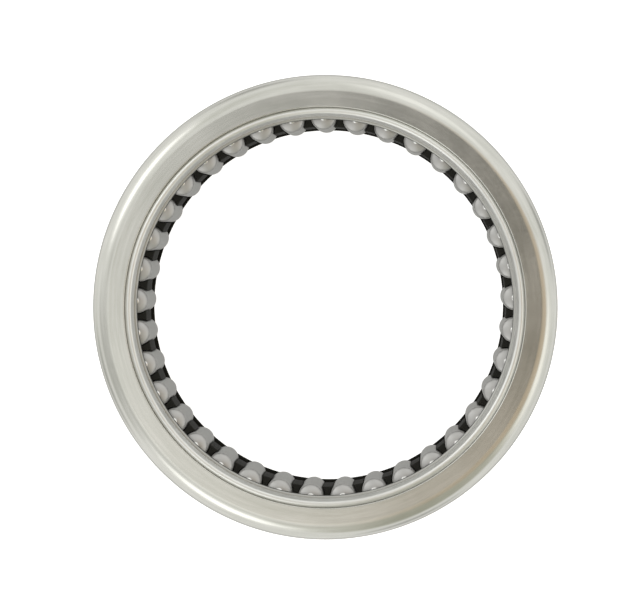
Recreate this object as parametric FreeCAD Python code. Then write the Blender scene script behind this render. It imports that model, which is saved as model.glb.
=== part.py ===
import FreeCAD, Part
import math
import os

# Needle roller bearing without an inner ring, dimension series 49, boundary size 42 x 55 x 20 mm.
# Millimetres. The bearing's axis is Z, its origin is the centre of the bearing, +Z is the front face.

# Outer ring
bearing_outer_diameter = 55.0
bearing_width = 20.0
ring_corner_radius = 2.0          # large rounded edge between the face and the outside diameter
raceway_radius = 24.04            # ground track that the needles roll on
lip_inner_radius = 23.66          # edge of the lip that is rolled over the end washer
lip_thickness = 0.40
lip_edge_radius = 0.14
washer_groove_radius = 24.62      # groove in the ring that holds the end washer
oil_groove_width = 2.0
oil_groove_depth = 0.5
oil_groove_flank_run = 0.35       # each flank leans outward by this much
oil_hole_diameter = 1.8

# End washers
washer_outer_radius = 24.55
washer_inner_radius = 22.58
washer_thickness = 0.70
washer_gap = 0.04                 # axial clearance on each side of the washer's flange
bead_foot_radius = 23.50          # the rolled bead rises from the flange just inside the lip
bead_crest_radius = 23.10
bead_rounding = 0.28
bead_peak_height = 10.06          # where the bead's two flanks would meet without the rounding
bead_inner_height = 9.42          # foot of the inner flank, at the washer's bore

# Needle rollers
needle_count = 37
needle_diameter = 3.0
needle_length = 15.8
needle_corner_radius = 0.50
needle_corner_tilt = 28.0         # slope, in degrees, where the domed end runs into the corner
needle_dome_fall = 0.23           # the end falls by this much from its centre boss to the corner
needle_dome_bulge = 0.045
needle_boss_radius = 0.42         # small rounded boss in the middle of each end
needle_boss_height = 0.10
pitch_radius = 22.5
first_needle_angle = 2.93         # degrees from +X

# Cage
cage_front_rim_inner_radius = 22.24
cage_rear_rim_inner_radius = 21.32   # the rear rim reaches in behind the needles' ends, close to the shaft
cage_rim_outer_radius = 23.85
cage_rim_thickness = 0.75
cage_half_length = 8.75
cage_sheet = 0.70                 # thickness of the cage's profiled wall
cage_shoulder_inner_radius = 22.98   # wall outside the pitch circle, next to each rim
cage_waist_inner_radius = 21.45      # wall inside the pitch circle, in the middle
cage_waist_half_length = 4.2
cage_slope_length = 1.9           # axial length of each slope between shoulder and waist
cage_rim_edge_radius = 0.20
pocket_clearance = 0.12           # radial clearance between needle and pocket
pocket_end_clearance = 0.10

half_width = bearing_width / 2
outer_radius = bearing_outer_diameter / 2
needle_radius = needle_diameter / 2
needle_pitch_angle = 360.0 / needle_count
axis_z = FreeCAD.Vector(0, 0, 1)
origin = FreeCAD.Vector(0, 0, 0)


def section_point(radius, height):
    """A point of a lathe section, in the plane that holds the bearing's axis."""
    return FreeCAD.Vector(radius, 0, height)


def line(start, end):
    return Part.LineSegment(section_point(*start), section_point(*end)).toShape()


def arc_about(centre, start, end):
    """An arc about a centre, from one point to the other the short way round."""
    radius = math.hypot(start[0] - centre[0], start[1] - centre[1])
    half_way = ((start[0] + end[0]) / 2 - centre[0], (start[1] + end[1]) / 2 - centre[1])
    scale = radius / math.hypot(*half_way)
    middle = (centre[0] + half_way[0] * scale, centre[1] + half_way[1] * scale)
    return Part.Arc(section_point(*start), section_point(*middle), section_point(*end)).toShape()


def lathe(edges):
    """Turn a closed section once around the bearing's axis."""
    section = Part.Face(Part.Wire(edges))
    return section.revolve(origin, axis_z, 360)


def rounded_section(corners):
    """Edges of a closed section: each corner is (radius, height, rounding), zero for a sharp one."""
    count = len(corners)
    arcs = []
    for index, (radius, height, rounding) in enumerate(corners):
        before = corners[index - 1]
        after = corners[(index + 1) % count]
        arcs.append(corner_arc(before, (radius, height), after, rounding))
    edges = []
    for index, (entry, exit_point, arc) in enumerate(arcs):
        if arc is not None:
            edges.append(arc)
        next_entry = arcs[(index + 1) % count][0]
        if math.dist(exit_point, next_entry) > 1e-6:
            edges.append(line(exit_point, next_entry))
    return edges


def corner_arc(before, corner, after, rounding):
    """Tangent points of a rounded corner and the arc between them."""
    if rounding == 0:
        return corner, corner, None
    to_before = unit_vector(corner, before)
    to_after = unit_vector(corner, after)
    cosine = to_before[0] * to_after[0] + to_before[1] * to_after[1]
    half_angle = math.acos(cosine) / 2
    setback = rounding / math.tan(half_angle)
    entry = (corner[0] + to_before[0] * setback, corner[1] + to_before[1] * setback)
    exit_point = (corner[0] + to_after[0] * setback, corner[1] + to_after[1] * setback)
    bisector = unit_vector((0, 0), (to_before[0] + to_after[0], to_before[1] + to_after[1]))
    reach = rounding / math.sin(half_angle)
    middle = (corner[0] + bisector[0] * (reach - rounding), corner[1] + bisector[1] * (reach - rounding))
    arc = Part.Arc(section_point(*entry), section_point(*middle), section_point(*exit_point)).toShape()
    return entry, exit_point, arc


def unit_vector(start, end):
    run = end[0] - start[0]
    rise = end[1] - start[1]
    length = math.hypot(run, rise)
    return run / length, rise / length


def mirrored(corners):
    """The same corners on the rear side, in reverse order so the section stays one loop."""
    return [(radius, -height, rounding) for radius, height, rounding in reversed(corners)]


def make_outer_ring():
    lip_height = half_width - lip_thickness
    groove_floor = lip_height - washer_thickness - 2 * washer_gap
    groove_half = oil_groove_width / 2
    groove_bottom = outer_radius - oil_groove_depth
    front_half = [
        (raceway_radius, groove_floor, 0.12),
        (washer_groove_radius, groove_floor, 0),
        (washer_groove_radius, lip_height, 0),
        (lip_inner_radius, lip_height, 0.10),
        (lip_inner_radius, half_width, lip_edge_radius),
        (outer_radius, half_width, ring_corner_radius),
        (outer_radius, groove_half + oil_groove_flank_run, 0.10),
        (groove_bottom, groove_half, 0.10),
    ]
    ring = lathe(rounded_section(front_half + mirrored(front_half)))
    hole_start = FreeCAD.Vector(0, -outer_radius - 1, 0)
    hole_depth = outer_radius - raceway_radius + 3
    oil_hole = Part.makeCylinder(oil_hole_diameter / 2, hole_depth, hole_start, FreeCAD.Vector(0, 1, 0))
    return ring.cut(oil_hole)


def make_front_washer():
    """Flat flange in the ring's groove, with a rounded bead standing up around the bore."""
    top = half_width - lip_thickness - washer_gap
    bottom = top - washer_thickness
    return lathe(rounded_section([
        (washer_inner_radius, bottom, 0.12),
        (washer_outer_radius, bottom, 0.10),
        (washer_outer_radius, top, 0.10),
        (bead_foot_radius, top, 0),
        (bead_crest_radius, bead_peak_height, bead_rounding),
        (washer_inner_radius, bead_inner_height, 0.12),
    ]))


def bulged(start, end, bulge):
    """A shallow arc between two points whose middle stands out along the axis by the bulge."""
    middle = ((start[0] + end[0]) / 2, (start[1] + end[1]) / 2 + bulge)
    return Part.Arc(section_point(*start), section_point(*middle), section_point(*end)).toShape()


def needle_end(side):
    """Edges of one end, from the tip out to the cylinder; side is 1 at the front, -1 at the rear."""
    tip = needle_length / 2
    tilt = math.radians(needle_corner_tilt)
    boss_foot = tip - needle_boss_height
    shoulder = boss_foot - needle_dome_fall
    side_end = shoulder - needle_corner_radius * math.cos(tilt)
    corner_centre = needle_radius - needle_corner_radius
    dome_edge = corner_centre + needle_corner_radius * math.sin(tilt)
    tip_point = (0, side * tip)
    foot_point = (needle_boss_radius, side * boss_foot)
    shoulder_point = (dome_edge, side * shoulder)
    side_point = (needle_radius, side * side_end)
    boss = bulged(tip_point, foot_point, side * needle_boss_height / 4)
    dome = bulged(foot_point, shoulder_point, side * needle_dome_bulge)
    corner = arc_about((corner_centre, side * side_end), shoulder_point, side_point)
    return [boss, dome, corner], side_end


def make_needle(angle):
    """One roller: a cylinder with domed ends that run smoothly into its side."""
    front_end, side_end = needle_end(1)
    rear_end, _ = needle_end(-1)
    side = line((needle_radius, -side_end), (needle_radius, side_end))
    axis = line((0, needle_length / 2), (0, -needle_length / 2))
    needle = lathe(rear_end + [side] + list(reversed(front_end)) + [axis])
    needle.translate(FreeCAD.Vector(pitch_radius, 0, 0))
    needle.rotate(origin, axis_z, angle)
    return needle


def cage_half_section(rim_inner_radius):
    """Corners of the cage wall from its middle outwards, around the rim and back to its middle."""
    shoulder_start = cage_half_length - cage_rim_thickness
    slope_start = cage_waist_half_length + cage_slope_length
    shoulder_outer = cage_shoulder_inner_radius + cage_sheet
    waist_outer = cage_waist_inner_radius + cage_sheet
    return [
        (waist_outer, cage_waist_half_length, 0.5),
        (shoulder_outer, slope_start, 0.5),
        (shoulder_outer, shoulder_start, 0.10),
        (cage_rim_outer_radius, shoulder_start, 0.10),
        (cage_rim_outer_radius, cage_half_length, cage_rim_edge_radius),
        (rim_inner_radius, cage_half_length, cage_rim_edge_radius),
        (rim_inner_radius, shoulder_start, 0.10),
        (cage_shoulder_inner_radius, shoulder_start, 0.10),
        (cage_shoulder_inner_radius, slope_start, 0.5),
        (cage_waist_inner_radius, cage_waist_half_length, 0.5),
    ]


def make_cage():
    """A profiled ring, wide at its ends and drawn in at its waist, with one pocket for each needle."""
    front = cage_half_section(cage_front_rim_inner_radius)
    rear = cage_half_section(cage_rear_rim_inner_radius)
    wall = lathe(rounded_section(front + mirrored(rear)))
    pocket_half = needle_length / 2 + pocket_end_clearance
    pockets = []
    for index in range(needle_count):
        angle = math.radians(first_needle_angle + index * needle_pitch_angle)
        base = FreeCAD.Vector(pitch_radius * math.cos(angle), pitch_radius * math.sin(angle), -pocket_half)
        pockets.append(Part.makeCylinder(needle_radius + pocket_clearance, 2 * pocket_half, base, axis_z))
    return wall.cut(pockets)


os.makedirs("parts", exist_ok=True)

make_outer_ring().exportStep("parts/outer_ring.step")

front_washer = make_front_washer()
front_washer.exportStep("parts/front_end_washer.step")
front_washer.mirror(origin, axis_z).exportStep("parts/rear_end_washer.step")

make_cage().exportStep("parts/cage.step")

for number in range(1, needle_count + 1):
    needle_angle = first_needle_angle + (number - 1) * needle_pitch_angle
    make_needle(needle_angle).exportStep(f"parts/needle_{number:02d}.step")
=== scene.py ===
import math

import bmesh
import bpy
from mathutils import Matrix, Vector


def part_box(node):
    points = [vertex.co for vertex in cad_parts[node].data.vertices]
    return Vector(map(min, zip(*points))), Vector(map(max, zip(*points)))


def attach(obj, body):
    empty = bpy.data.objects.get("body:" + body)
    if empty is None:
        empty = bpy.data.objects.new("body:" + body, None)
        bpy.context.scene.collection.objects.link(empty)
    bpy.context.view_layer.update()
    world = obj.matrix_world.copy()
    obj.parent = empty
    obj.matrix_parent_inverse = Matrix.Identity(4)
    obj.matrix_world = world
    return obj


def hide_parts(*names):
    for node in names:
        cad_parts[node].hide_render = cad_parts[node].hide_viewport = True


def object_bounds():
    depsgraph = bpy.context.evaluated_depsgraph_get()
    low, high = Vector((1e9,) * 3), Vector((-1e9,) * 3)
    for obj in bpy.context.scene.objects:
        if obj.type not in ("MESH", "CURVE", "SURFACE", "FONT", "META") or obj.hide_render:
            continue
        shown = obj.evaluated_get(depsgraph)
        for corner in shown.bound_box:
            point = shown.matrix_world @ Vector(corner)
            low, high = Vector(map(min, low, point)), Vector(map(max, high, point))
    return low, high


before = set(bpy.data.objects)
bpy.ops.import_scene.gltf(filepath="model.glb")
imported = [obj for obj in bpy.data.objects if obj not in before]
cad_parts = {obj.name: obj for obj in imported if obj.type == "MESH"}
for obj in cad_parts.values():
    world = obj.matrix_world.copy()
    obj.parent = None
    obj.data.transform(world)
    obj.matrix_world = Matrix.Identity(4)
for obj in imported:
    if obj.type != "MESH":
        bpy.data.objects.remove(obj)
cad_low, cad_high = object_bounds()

# Needle roller bearing: a machined outer ring, two end washers, a cage and a row of needle rollers.
# Everything is in metres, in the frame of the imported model: the axis is Z and the front face looks up.

MM = 0.001

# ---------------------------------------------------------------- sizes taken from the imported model
_, ring_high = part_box("outer_ring")
washer_low, washer_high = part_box("front_end_washer")
_, cage_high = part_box("cage")
NEEDLE_NODES = sorted(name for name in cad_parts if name.startswith("needle_"))
first_low, first_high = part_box(NEEDLE_NODES[0])

OUTER_RADIUS = ring_high.x
HALF_WIDTH = ring_high.z
WASHER_BOTTOM = washer_low.z
WASHER_OUTER_RADIUS = washer_high.x
CAGE_HALF_LENGTH = cage_high.z
CAGE_RIM_OUTER_RADIUS = cage_high.x
NEEDLE_RADIUS = (first_high.y - first_low.y) / 2
NEEDLE_HALF_LENGTH = first_high.z

# ---------------------------------------------------------------- section sizes inside those boxes
CORNER_ROUNDING = 2.0 * MM
RACEWAY_RADIUS = 24.04 * MM
LIP_RADIUS = 23.66 * MM
LIP_THICKNESS = 0.40 * MM
WASHER_GROOVE_RADIUS = 24.62 * MM
OIL_GROOVE_HALF = 1.0 * MM
OIL_GROOVE_DEPTH = 0.5 * MM
OIL_GROOVE_FLANK = 0.35 * MM
OIL_HOLE_RADIUS = 0.9 * MM
OIL_HOLE_DRILLING = 6 * MM        # length of the cutter
OIL_HOLE_START = 1 * MM           # how far outside the ring the cutter begins
LIP_ROUNDING = 0.10 * MM
OIL_GROOVE_ROUNDING = 0.10 * MM
RACEWAY_ROUNDING = 0.12 * MM
FACE_FALL = 0.09 * MM             # the face is very slightly crowned: this much lower at its rim

WASHER_INNER_RADIUS = 22.58 * MM
WASHER_THICKNESS = 0.70 * MM
WASHER_GAP = 0.04 * MM            # between a washer and the floor of its groove
WASHER_RIM_ROUNDING = 0.10 * MM
WASHER_BORE_ROUNDING = 0.12 * MM
BEAD_FOOT_RADIUS = 23.60 * MM
BEAD_FOOT_HEIGHT = 9.69 * MM
BEAD_CREST_RADIUS = 23.10 * MM
BEAD_ROUNDING = 0.38 * MM
BEAD_PEAK_HEIGHT = 10.03 * MM     # where the bead's flanks would meet without the rounding
BEAD_INNER_HEIGHT = 9.42 * MM
BEAD_FOOT_ROUNDING = 0.05 * MM

FRONT_RIM_INNER_RADIUS = 22.24 * MM
REAR_RIM_INNER_RADIUS = 21.32 * MM
RIM_THICKNESS = 0.75 * MM
BARE_RIM_LENGTH = 0.20 * MM              # the rims show bare steel over this much of their length; the rest of the cage sheet is painted near-black as painted shade
CAGE_SHEET = 0.70 * MM
CAGE_BEND = 0.5 * MM
CAGE_RIM_ROUNDING = 0.20 * MM
CAGE_CORNER_ROUNDING = 0.10 * MM
SHOULDER_RADIUS = 22.98 * MM
WAIST_RADIUS = 21.45 * MM
WAIST_HALF_LENGTH = 4.2 * MM
SLOPE_LENGTH = 1.9 * MM
POCKET_CLEARANCE = 0.12 * MM
POCKET_END_CLEARANCE = 0.10 * MM

NEEDLE_CORNER = 0.50 * MM
NEEDLE_CORNER_TILT = math.radians(28)   # slope where the domed end runs into the corner
NEEDLE_DOME_FALL = 0.23 * MM
NEEDLE_DOME_BULGE = 0.045 * MM
NEEDLE_BOSS_RADIUS = 0.42 * MM
NEEDLE_BOSS_HEIGHT = 0.10 * MM
DULL_START = 0.75 * MM            # the dull end finish begins this far below the boss
DULL_FULL = 0.40 * MM
BLEND_EDGE = 0.02 * MM           # how sharply the bare cage rims and the painted highlight and smoother finish on the needle bosses begin

ROOM_COLOUR = (1.0, 1.0, 0.98)
# Each patch of the room: azimuth and polar angle of its centre in degrees, how far its full colour and its
# fading edge reach as distances on the unit sphere, and its colour. Later patches lie over earlier ones.
ROOM_PATCHES = [
    (295, 48, 0.38, 0.62, (0.49, 0.49, 0.41)),
    (194, 45, 0.38, 0.60, (0.66, 0.66, 0.64)),
    (241, 52, 0.00, 0.63, (1.22, 1.22, 1.20)),
    (146, 50, 0.00, 0.69, (1.26, 1.26, 1.24)),
    (69, 52, 0.18, 0.42, (1.20, 1.20, 1.18)),
    (342, 52, 0.00, 0.46, (1.45, 1.43, 1.36)),
    (107, 44, 0.25, 0.50, (0.87, 0.87, 0.84)),
    (344, 19, 0.26, 0.42, (0.67, 0.56, 0.42)),
    (227, 13, 0.00, 0.22, (1.34, 1.34, 1.30)),
    (36, 4, 0.07, 0.18, (0.08, 0.08, 0.077)),
    (0, 180, 0.45, 1.05, (0.56, 0.56, 0.55)),
]
# dark flags just below the horizon, which give the upright outside wall its soft upright bands
ROOM_PATCHES += [(azimuth, 106, 0.06, 0.34, (0.50, 0.50, 0.49)) for azimuth in (20, 110, 200, 290)]
# azimuth and power of each softbox, in degrees and watts
SOFTBOXES = [(69, 0.08), (146, 0.36), (241, 0.36), (342, 0.04)]
SOFTBOX_POLAR = 54
SOFTBOX_DISTANCE = 0.9
SOFTBOX_SIZE = 0.45
FLOOR_HALF_SIZE = 3.0
FLOOR_GAP = 0.02 * MM             # the floor lies this far below the object
FLOOR_GLOW = 0.8

CAMERA_DISTANCE = 480 * MM        # above the front face
CAMERA_ASIDE = Vector((12.4 * MM, 8.9 * MM, 0.0))
CAMERA_AIM = Vector((-0.54 * MM, 0.79 * MM, HALF_WIDTH))
CAMERA_LENS = 229.3
CAMERA_SENSOR = 36.0

RING_SEGMENTS = 360
NEEDLE_SEGMENTS = 56
CUTTER_SEGMENTS = 48
SHARP_ANGLE = math.radians(35)    # edges that turn by more than this stay sharp after a cut
SUPPORT = 0.05 * MM               # distance of the loops that keep flat bands flat beside a rounding
LONG_RUN = 5 * SUPPORT            # a straight run shorter than this gets no such loops
ON_AXIS = 1e-9                    # a section point nearer to its line than this becomes a pole


# ---------------------------------------------------------------- lathe sections
def unit(start, end):
    run = end[0] - start[0]
    rise = end[1] - start[1]
    length = math.hypot(run, rise)
    return run / length, rise / length


def rounded(corners, steps=8):
    """Points of a closed section; each corner is (radius, height, rounding)."""
    points = []
    count = len(corners)
    for index, (radius, height, rounding) in enumerate(corners):
        if rounding == 0:
            points.append((radius, height))
            continue
        before = unit((radius, height), corners[index - 1])
        after = unit((radius, height), corners[(index + 1) % count])
        half = math.acos(before[0] * after[0] + before[1] * after[1]) / 2
        setback = rounding / math.tan(half)
        middle = unit((0, 0), (before[0] + after[0], before[1] + after[1]))
        reach = rounding / math.sin(half)
        centre = (radius + middle[0] * reach, height + middle[1] * reach)
        start = (radius + before[0] * setback - centre[0], height + before[1] * setback - centre[1])
        end = (radius + after[0] * setback - centre[0], height + after[1] * setback - centre[1])
        first = math.atan2(start[1], start[0])
        sweep = (math.atan2(end[1], end[0]) - first + math.pi) % (2 * math.pi) - math.pi
        for step in range(steps + 1):
            angle = first + sweep * step / steps
            points.append((centre[0] + rounding * math.cos(angle), centre[1] + rounding * math.sin(angle)))
    return points


def with_support(points, closed=True):
    """Adds a loop just inside each end of every long straight run."""
    result = []
    count = len(points)
    for index, point in enumerate(points):
        result.append(point)
        if not closed and index == count - 1:
            break
        after = points[(index + 1) % count]
        length = math.dist(point, after)
        if length > LONG_RUN:
            way = unit(point, after)
            result.append((point[0] + way[0] * SUPPORT, point[1] + way[1] * SUPPORT))
            result.append((after[0] - way[0] * SUPPORT, after[1] - way[1] * SUPPORT))
    return result


def mirrored(corners):
    return [(radius, -height, rounding) for radius, height, rounding in reversed(corners)]


def lathe_mesh(name, points, segments, centre=(0.0, 0.0)):
    """A closed section turned once around a vertical line; points on that line become poles."""
    mesh = bpy.data.meshes.new(name)
    shape = bmesh.new()
    rows = []
    for radius, height in points:
        if radius < ON_AXIS:
            rows.append([shape.verts.new((centre[0], centre[1], height))])
            continue
        row = []
        for step in range(segments):
            angle = 2 * math.pi * step / segments
            place = (centre[0] + radius * math.cos(angle), centre[1] + radius * math.sin(angle), height)
            row.append(shape.verts.new(place))
        rows.append(row)
    for row, following in zip(rows, rows[1:] + rows[:1]):
        join_rows(shape, row, following, segments)
    bmesh.ops.recalc_face_normals(shape, faces=shape.faces)
    for face in shape.faces:
        face.smooth = True
    shape.to_mesh(mesh)
    shape.free()
    return mesh


def join_rows(shape, row, following, segments):
    if len(row) == 1 and len(following) == 1:
        return
    for step in range(segments):
        after = (step + 1) % segments
        if len(row) == 1:
            shape.faces.new((row[0], following[step], following[after]))
        elif len(following) == 1:
            shape.faces.new((row[step], following[0], row[after]))
        else:
            shape.faces.new((row[step], following[step], following[after], row[after]))


def rod_points(radius, bottom, top):
    """Section of a plain rod, from its axis outwards and back."""
    return [(0.0, bottom), (radius, bottom), (radius, top), (0.0, top)]


def add_object(name, mesh):
    piece = bpy.data.objects.new(name, mesh)
    bpy.context.scene.collection.objects.link(piece)
    return piece


def cut_away(piece, cutter_mesh):
    """Subtracts a closed mesh from a piece and applies the result."""
    cutter = add_object("cutter", cutter_mesh)
    modifier = piece.modifiers.new("cut", "BOOLEAN")
    modifier.operation = "DIFFERENCE"
    modifier.solver = "EXACT"
    modifier.object = cutter
    graph = bpy.context.evaluated_depsgraph_get()
    cut = bpy.data.meshes.new_from_object(piece.evaluated_get(graph))
    piece.modifiers.remove(modifier)
    piece.data = cut
    bpy.data.objects.remove(cutter)
    cut.shade_smooth()
    cut.set_sharp_from_angle(angle=SHARP_ANGLE)


# ---------------------------------------------------------------- material helpers
MIX_FIRST = 6                     # the colour sockets of a Mix node
MIX_SECOND = 7
MIX_RESULT = 2


class Shader:
    """Builds one material's node tree."""

    def __init__(self, name):
        self.material = bpy.data.materials.new(name)
        self.material.use_nodes = True
        self.nodes = self.material.node_tree.nodes
        self.links = self.material.node_tree.links
        self.surface = self.nodes["Principled BSDF"]
        self.position = self.nodes.new("ShaderNodeTexCoord").outputs["Object"]

    def node(self, kind, inputs=None, **settings):
        made = self.nodes.new(kind)
        for key, value in settings.items():
            setattr(made, key, value)
        for key, value in (inputs or {}).items():
            self.set_or_link(made.inputs[key], value)
        return made

    def set_or_link(self, target, value):
        if isinstance(value, bpy.types.NodeSocket):
            self.links.new(value, target)
        else:
            target.default_value = value

    def math(self, operation, first, second=0.0):
        return self.node("ShaderNodeMath", {0: first, 1: second}, operation=operation).outputs[0]

    def noise(self, vector, scale, detail=3.0, roughness=0.5):
        inputs = {"Vector": vector, "Scale": scale, "Detail": detail, "Roughness": roughness}
        return self.node("ShaderNodeTexNoise", inputs).outputs["Fac"]

    def spread(self, value, low, high, to_low, to_high):
        inputs = {"Value": value, "From Min": low, "From Max": high, "To Min": to_low, "To Max": to_high}
        return self.node("ShaderNodeMapRange", inputs).outputs[0]

    def mix_colour(self, factor, first, second):
        inputs = {"Factor": factor, MIX_FIRST: first, MIX_SECOND: second}
        return self.node("ShaderNodeMix", inputs, data_type="RGBA").outputs[MIX_RESULT]

    def coordinates(self):
        parts = self.node("ShaderNodeSeparateXYZ", {0: self.position})
        return parts.outputs[0], parts.outputs[1], parts.outputs[2]

    def axis_distance(self):
        x, y, _ = self.coordinates()
        squares = self.math("ADD", self.math("MULTIPLY", x, x), self.math("MULTIPLY", y, y))
        return self.math("SQRT", squares)

    def vector(self, x, y, z):
        return self.node("ShaderNodeCombineXYZ", {0: x, 1: y, 2: z}).outputs[0]

    def bump(self, height, strength, distance):
        inputs = {"Height": height, "Strength": strength, "Distance": distance}
        return self.node("ShaderNodeBump", inputs).outputs[0]

    def finish(self, **inputs):
        for key, value in inputs.items():
            self.set_or_link(self.surface.inputs[key.replace("_", " ")], value)
        return self.material


def rgba(red, green, blue):
    return (red, green, blue, 1.0)


def ring_steel():
    """Fine concentric marks on the turned faces and fine marks around the ground outside diameter."""
    s = Shader("ring_steel")
    radius = s.axis_distance()
    x, y, height = s.coordinates()
    turned = s.noise(s.vector(radius, 0.0, 0.0), 9000.0, 4.0, 0.7)
    ground = s.noise(s.vector(0.0, 0.0, height), 7000.0, 4.0, 0.7)
    marks = s.math("ADD", turned, s.math("MULTIPLY", ground, 4.0))
    clouds = s.noise(s.position, 140.0, 4.0, 0.6)
    grain = s.noise(s.position, 2600.0, 3.0, 0.6)
    cloudy = s.spread(clouds, 0.3, 0.7, 0.20, 0.24)
    rough = s.math("ADD", cloudy, s.spread(grain, 0.3, 0.7, -0.01, 0.01))
    along = s.vector(
        s.math("MULTIPLY", radius, 1500.0), s.math("MULTIPLY", x, 90.0), s.math("MULTIPLY", y, 90.0))
    streaks = s.noise(along, 1.0, 3.0, 0.6)
    patina = s.math("ADD", s.math("MULTIPLY", clouds, 0.4), s.math("MULTIPLY", streaks, 0.6))
    share = s.spread(patina, 0.35, 0.65, 0.0, 1.0)
    colour = s.mix_colour(share, rgba(0.57, 0.57, 0.525), rgba(0.69, 0.685, 0.645))
    normal = s.bump(marks, 0.05, 0.01 * MM)
    return s.finish(Base_Color=colour, Metallic=1.0, Roughness=rough, Normal=normal)


def washer_steel():
    """Pressed sheet steel, duller than the ring, with faint marks around its bead."""
    s = Shader("washer_steel")
    radius = s.axis_distance()
    clouds = s.noise(s.position, 260.0, 4.0, 0.6)
    lines = s.noise(s.vector(radius, 0.0, 0.0), 4000.0, 3.0, 0.6)
    colour = s.mix_colour(clouds, rgba(0.70, 0.70, 0.67), rgba(0.78, 0.78, 0.75))
    rough = s.spread(clouds, 0.3, 0.7, 0.34, 0.40)
    normal = s.bump(lines, 0.02, 0.01 * MM)
    return s.finish(Base_Color=colour, Metallic=1.0, Roughness=rough, Normal=normal)


def cage_steel():
    """Near-black painted shade on the sheet between the rollers, standing for the deep shade in the slots
    there; bare steel on the two rims.
    """
    s = Shader("cage_steel")
    _, _, height = s.coordinates()
    clouds = s.noise(s.position, 420.0, 4.0, 0.6)
    along = s.math("ABSOLUTE", height)
    rim_fully_bare = CAGE_HALF_LENGTH - BLEND_EDGE
    bare_rim = s.spread(along, CAGE_HALF_LENGTH - BARE_RIM_LENGTH, rim_fully_bare, 0.0, 1.0)
    # painted shade: the sheet between the rollers gets a near-black, nearly non-metallic colour for the
    # deep shade of the slots; the rims keep bare steel
    painted_shade = s.mix_colour(clouds, rgba(0.012, 0.012, 0.010), rgba(0.026, 0.025, 0.021))
    bright = s.mix_colour(clouds, rgba(0.42, 0.42, 0.40), rgba(0.52, 0.52, 0.49))
    colour = s.mix_colour(bare_rim, painted_shade, bright)
    rough = s.math("SUBTRACT", s.spread(clouds, 0.3, 0.7, 0.60, 0.72), s.math("MULTIPLY", bare_rim, 0.3))
    normal = s.bump(clouds, 0.15, 0.03 * MM)
    metal = s.math("MULTIPLY", bare_rim, 0.95)
    return s.finish(
        Base_Color=colour, Metallic=metal, Roughness=rough, Normal=normal, Specular_IOR_Level=0.06,
        Specular_Tint=rgba(0.5, 0.5, 0.48))


def needle_steel():
    """Ground sides, duller tumbled ends, and a painted highlight: a brighter colour and a smoother finish
    on each end's boss.
    """
    s = Shader("needle_steel")
    _, _, height = s.coordinates()
    clouds = s.noise(s.position, 380.0, 4.0, 0.6)
    rings = s.noise(s.vector(0.0, 0.0, height), 9000.0, 3.0, 0.6)
    along = s.math("ABSOLUTE", height)
    boss_foot = NEEDLE_HALF_LENGTH - NEEDLE_BOSS_HEIGHT
    end = s.spread(along, boss_foot - DULL_START, boss_foot - DULL_FULL, 0.0, 1.0)
    boss = s.spread(along, boss_foot, boss_foot + BLEND_EDGE, 0.0, 1.0)
    side_colour = s.mix_colour(clouds, rgba(0.61, 0.606, 0.589), rgba(0.68, 0.676, 0.657))
    end_colour = s.mix_colour(clouds, rgba(0.47, 0.466, 0.454), rgba(0.53, 0.526, 0.513))
    colour = s.mix_colour(end, side_colour, end_colour)
    # painted highlight: a brighter colour on each end's boss, for the white speck it shows
    colour = s.mix_colour(boss, colour, rgba(0.80, 0.80, 0.78))
    rough = s.math("ADD", s.spread(clouds, 0.3, 0.7, 0.34, 0.40), s.math("MULTIPLY", end, 0.10))
    rough = s.math("SUBTRACT", rough, s.math("MULTIPLY", boss, 0.30))
    normal = s.bump(rings, 0.06, 0.01 * MM)
    return s.finish(
        Base_Color=colour, Metallic=1.0, Roughness=rough, Normal=normal,
        Specular_Tint=rgba(0.6, 0.6, 0.585))


# ---------------------------------------------------------------- pieces
def ring_corners():
    lip_height = HALF_WIDTH - LIP_THICKNESS
    groove_bottom_height = WASHER_BOTTOM - WASHER_GAP
    groove_floor = OUTER_RADIUS - OIL_GROOVE_DEPTH
    return [
        (RACEWAY_RADIUS, groove_bottom_height, RACEWAY_ROUNDING),
        (WASHER_GROOVE_RADIUS, groove_bottom_height, 0),
        (WASHER_GROOVE_RADIUS, lip_height, 0),
        (LIP_RADIUS, lip_height, LIP_ROUNDING),
        (LIP_RADIUS, HALF_WIDTH, LIP_ROUNDING),
        (OUTER_RADIUS, HALF_WIDTH - FACE_FALL, CORNER_ROUNDING),
        (OUTER_RADIUS, OIL_GROOVE_HALF + OIL_GROOVE_FLANK, OIL_GROOVE_ROUNDING),
        (groove_floor, OIL_GROOVE_HALF, OIL_GROOVE_ROUNDING),
    ]


def make_ring(material):
    front = ring_corners()
    points = with_support(rounded(front + mirrored(front), steps=14))
    piece = add_object("ring", lathe_mesh("ring", points, RING_SEGMENTS))
    cutter = lathe_mesh("oil_hole", rod_points(OIL_HOLE_RADIUS, 0.0, OIL_HOLE_DRILLING), CUTTER_SEGMENTS)
    start = Matrix.Translation((0.0, -(OUTER_RADIUS + OIL_HOLE_START), 0.0))
    cutter.transform(start @ Matrix.Rotation(math.radians(-90), 4, "X"))
    cut_away(piece, cutter)
    piece.data.materials.append(material)
    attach(piece, "ring_assembly")
    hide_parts("outer_ring")


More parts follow.
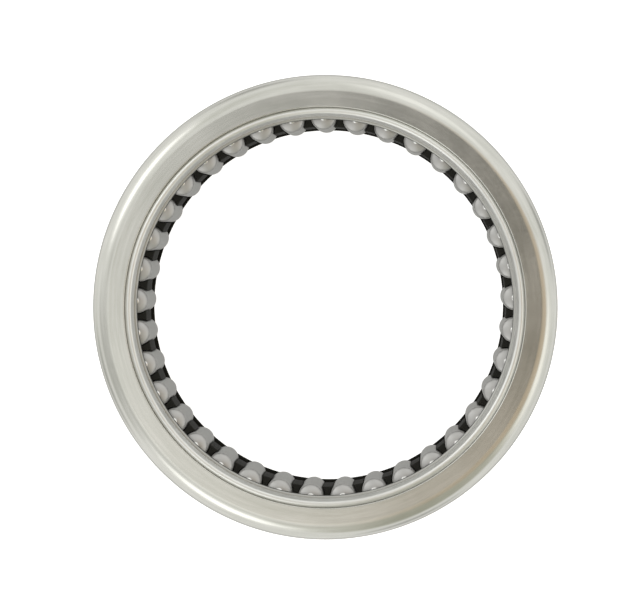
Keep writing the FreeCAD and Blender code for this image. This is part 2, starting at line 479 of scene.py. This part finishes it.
def make_washer(name, node, side, material):
    """The front washer has side 1 and the rear one, its mirror image, side -1."""
    top = WASHER_BOTTOM + WASHER_THICKNESS
    corners = [
        (WASHER_INNER_RADIUS, WASHER_BOTTOM, WASHER_BORE_ROUNDING),
        (WASHER_OUTER_RADIUS, WASHER_BOTTOM, WASHER_RIM_ROUNDING),
        (WASHER_OUTER_RADIUS, top, WASHER_RIM_ROUNDING),
        (BEAD_FOOT_RADIUS, top, 0),
        (BEAD_FOOT_RADIUS, BEAD_FOOT_HEIGHT, BEAD_FOOT_ROUNDING),
        (BEAD_CREST_RADIUS, BEAD_PEAK_HEIGHT, BEAD_ROUNDING),
        (WASHER_INNER_RADIUS, BEAD_INNER_HEIGHT, WASHER_BORE_ROUNDING),
    ]
    points = with_support(rounded(corners, steps=12))
    mesh = lathe_mesh(name, [(radius, side * height) for radius, height in points], RING_SEGMENTS)
    piece = add_object(name, mesh)
    mesh.materials.append(material)
    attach(piece, "ring_assembly")
    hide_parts(node)


def cage_half_section(rim_inner_radius):
    """Corners of the cage wall from its middle outwards, around the rim and back to its middle."""
    shoulder_start = CAGE_HALF_LENGTH - RIM_THICKNESS
    slope_start = WAIST_HALF_LENGTH + SLOPE_LENGTH
    return [
        (WAIST_RADIUS + CAGE_SHEET, WAIST_HALF_LENGTH, CAGE_BEND),
        (SHOULDER_RADIUS + CAGE_SHEET, slope_start, CAGE_BEND),
        (SHOULDER_RADIUS + CAGE_SHEET, shoulder_start, CAGE_CORNER_ROUNDING),
        (CAGE_RIM_OUTER_RADIUS, shoulder_start, CAGE_CORNER_ROUNDING),
        (CAGE_RIM_OUTER_RADIUS, CAGE_HALF_LENGTH, CAGE_RIM_ROUNDING),
        (rim_inner_radius, CAGE_HALF_LENGTH, CAGE_RIM_ROUNDING),
        (rim_inner_radius, shoulder_start, CAGE_CORNER_ROUNDING),
        (SHOULDER_RADIUS, shoulder_start, CAGE_CORNER_ROUNDING),
        (SHOULDER_RADIUS, slope_start, CAGE_BEND),
        (WAIST_RADIUS, WAIST_HALF_LENGTH, CAGE_BEND),
    ]


def cage_corners():
    front = cage_half_section(FRONT_RIM_INNER_RADIUS)
    rear = cage_half_section(REAR_RIM_INNER_RADIUS)
    return front + mirrored(rear)


def needle_centres():
    centres = []
    for node in NEEDLE_NODES:
        low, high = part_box(node)
        centres.append(((low.x + high.x) / 2, (low.y + high.y) / 2))
    return centres


def make_cage(material):
    points = rounded(cage_corners(), steps=6)
    piece = add_object("cage_sheet", lathe_mesh("cage_sheet", points, RING_SEGMENTS))
    half = NEEDLE_HALF_LENGTH + POCKET_END_CLEARANCE
    pocket_points = rod_points(NEEDLE_RADIUS + POCKET_CLEARANCE, -half, half)
    pockets = bmesh.new()
    for centre in needle_centres():
        pocket = lathe_mesh("pocket", pocket_points, CUTTER_SEGMENTS, centre)
        pockets.from_mesh(pocket)
        bpy.data.meshes.remove(pocket)
    cutter = bpy.data.meshes.new("pockets")
    pockets.to_mesh(cutter)
    pockets.free()
    cut_away(piece, cutter)
    piece.data.materials.append(material)
    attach(piece, "cage_body")
    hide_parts("cage")


def shallow_arc(start, end, bulge, steps):
    """Points from start to end, without the last, along a parabola that stands out by the bulge."""
    points = []
    for step in range(steps):
        share = step / steps
        height = start[1] + (end[1] - start[1]) * share + 4 * bulge * share * (1 - share)
        points.append((start[0] + (end[0] - start[0]) * share, height))
    return points


def needle_points():
    """Half section of a roller, from its rear tip to its front tip."""
    tip = (0.0, NEEDLE_HALF_LENGTH)
    foot = (NEEDLE_BOSS_RADIUS, NEEDLE_HALF_LENGTH - NEEDLE_BOSS_HEIGHT)
    shoulder = foot[1] - NEEDLE_DOME_FALL
    corner_centre = NEEDLE_RADIUS - NEEDLE_CORNER
    corner_foot = shoulder - NEEDLE_CORNER * math.cos(NEEDLE_CORNER_TILT)
    dome_edge = corner_centre + NEEDLE_CORNER * math.sin(NEEDLE_CORNER_TILT)
    boss_steps = 8
    dome_steps = 10
    corner_steps = 10
    end = shallow_arc(tip, foot, NEEDLE_BOSS_HEIGHT / 4, boss_steps)
    end += shallow_arc(foot, (dome_edge, shoulder), NEEDLE_DOME_BULGE, dome_steps)
    for step in range(corner_steps + 1):
        tilt = NEEDLE_CORNER_TILT + (math.pi / 2 - NEEDLE_CORNER_TILT) * step / corner_steps
        radius = corner_centre + NEEDLE_CORNER * math.sin(tilt)
        end.append((radius, corner_foot + NEEDLE_CORNER * math.cos(tilt)))
    rear = [(radius, -height) for radius, height in end]
    return with_support(rear + list(reversed(end)), closed=False)


def make_needles(material):
    section = needle_points()
    for node, centre in zip(NEEDLE_NODES, needle_centres()):
        name = node.replace("needle", "roller")
        mesh = lathe_mesh(name, section, NEEDLE_SEGMENTS, centre)
        mesh.materials.append(material)
        piece = add_object(name, mesh)
        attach(piece, node + "_body")
        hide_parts(node)


# ---------------------------------------------------------------- studio
def make_floor():
    mesh = bpy.data.meshes.new("floor")
    shape = bmesh.new()
    bmesh.ops.create_grid(shape, x_segments=1, y_segments=1, size=FLOOR_HALF_SIZE)
    bmesh.ops.translate(shape, verts=shape.verts, vec=(0.0, 0.0, cad_low.z - FLOOR_GAP))
    shape.to_mesh(mesh)
    shape.free()
    floor = add_object("floor", mesh)
    s = Shader("floor_white")
    cloud = s.noise(s.position, 14.0, 2.0)
    colour = s.mix_colour(cloud, rgba(0.86, 0.86, 0.85), rgba(0.88, 0.88, 0.87))
    glow = rgba(1.0, 1.0, 0.995)
    mesh.materials.append(s.finish(
        Base_Color=colour, Roughness=0.9, Emission_Color=glow, Emission_Strength=FLOOR_GLOW))
    floor.visible_glossy = False


def direction(azimuth, polar):
    """Unit vector at an azimuth from +X and a polar angle from +Z, both in degrees."""
    azimuth = math.radians(azimuth)
    polar = math.radians(polar)
    flat = math.sin(polar)
    return Vector((flat * math.cos(azimuth), flat * math.sin(azimuth), math.cos(polar)))


def make_softboxes():
    """Round soft lights in a circle above the object, each facing its centre."""
    for index, (azimuth, power) in enumerate(SOFTBOXES):
        name = f"softbox_{index + 1}"
        light = bpy.data.lights.new(name, "AREA")
        light.shape = "DISK"
        light.size = SOFTBOX_SIZE
        light.energy = power
        lamp = bpy.data.objects.new(name, light)
        away = direction(azimuth, SOFTBOX_POLAR)
        lamp.location = away * SOFTBOX_DISTANCE
        lamp.rotation_euler = away.to_track_quat("Z", "Y").to_euler()
        bpy.context.scene.collection.objects.link(lamp)


def make_world():
    """Soft studio dome: a pale room with broad soft patches, darker straight below the object."""
    world = bpy.data.worlds.new("studio")
    bpy.context.scene.world = world
    world.use_nodes = True
    tree = world.node_tree
    background = tree.nodes["Background"]
    place = tree.nodes.new("ShaderNodeTexCoord").outputs["Generated"]
    room = tree.nodes.new("ShaderNodeRGB")
    room.outputs[0].default_value = rgba(*ROOM_COLOUR)
    colour = room.outputs[0]
    for azimuth, polar, inner, outer, tone in ROOM_PATCHES:
        gap = tree.nodes.new("ShaderNodeVectorMath")
        gap.operation = "DISTANCE"
        tree.links.new(place, gap.inputs[0])
        gap.inputs[1].default_value = direction(azimuth, polar)
        ramp = tree.nodes.new("ShaderNodeMapRange")
        ramp.interpolation_type = "SMOOTHSTEP"
        ramp.inputs["From Min"].default_value = outer
        ramp.inputs["From Max"].default_value = inner
        tree.links.new(gap.outputs["Value"], ramp.inputs["Value"])
        mix = tree.nodes.new("ShaderNodeMix")
        mix.data_type = "RGBA"
        tree.links.new(ramp.outputs[0], mix.inputs["Factor"])
        tree.links.new(colour, mix.inputs[MIX_FIRST])
        mix.inputs[MIX_SECOND].default_value = rgba(*tone)
        colour = mix.outputs[MIX_RESULT]
    tree.links.new(colour, background.inputs["Color"])
    background.inputs["Strength"].default_value = 1.0


def make_camera():
    """Looks almost straight down the axis, from a little to the right of it and a little above it."""
    data = bpy.data.cameras.new("camera")
    data.sensor_width = CAMERA_SENSOR
    data.lens = CAMERA_LENS
    data.clip_start = 0.01
    data.clip_end = 20.0
    camera = bpy.data.objects.new("camera", data)
    camera.location = Vector((0.0, 0.0, HALF_WIDTH + CAMERA_DISTANCE)) + CAMERA_ASIDE
    back = (camera.location - CAMERA_AIM).normalized()
    right = Vector((0.0, 1.0, 0.0)).cross(back).normalized()
    up = back.cross(right)
    turn = Matrix((right, up, back)).transposed()
    camera.rotation_euler = turn.to_euler()
    bpy.context.scene.collection.objects.link(camera)
    bpy.context.scene.camera = camera


make_ring(ring_steel())
washer_material = washer_steel()
make_washer("front_washer", "front_end_washer", 1, washer_material)
make_washer("rear_washer", "rear_end_washer", -1, washer_material)
make_cage(cage_steel())
make_needles(needle_steel())

make_floor()
make_world()
make_softboxes()
make_camera()
bpy.context.scene.view_settings.view_transform = "Standard"
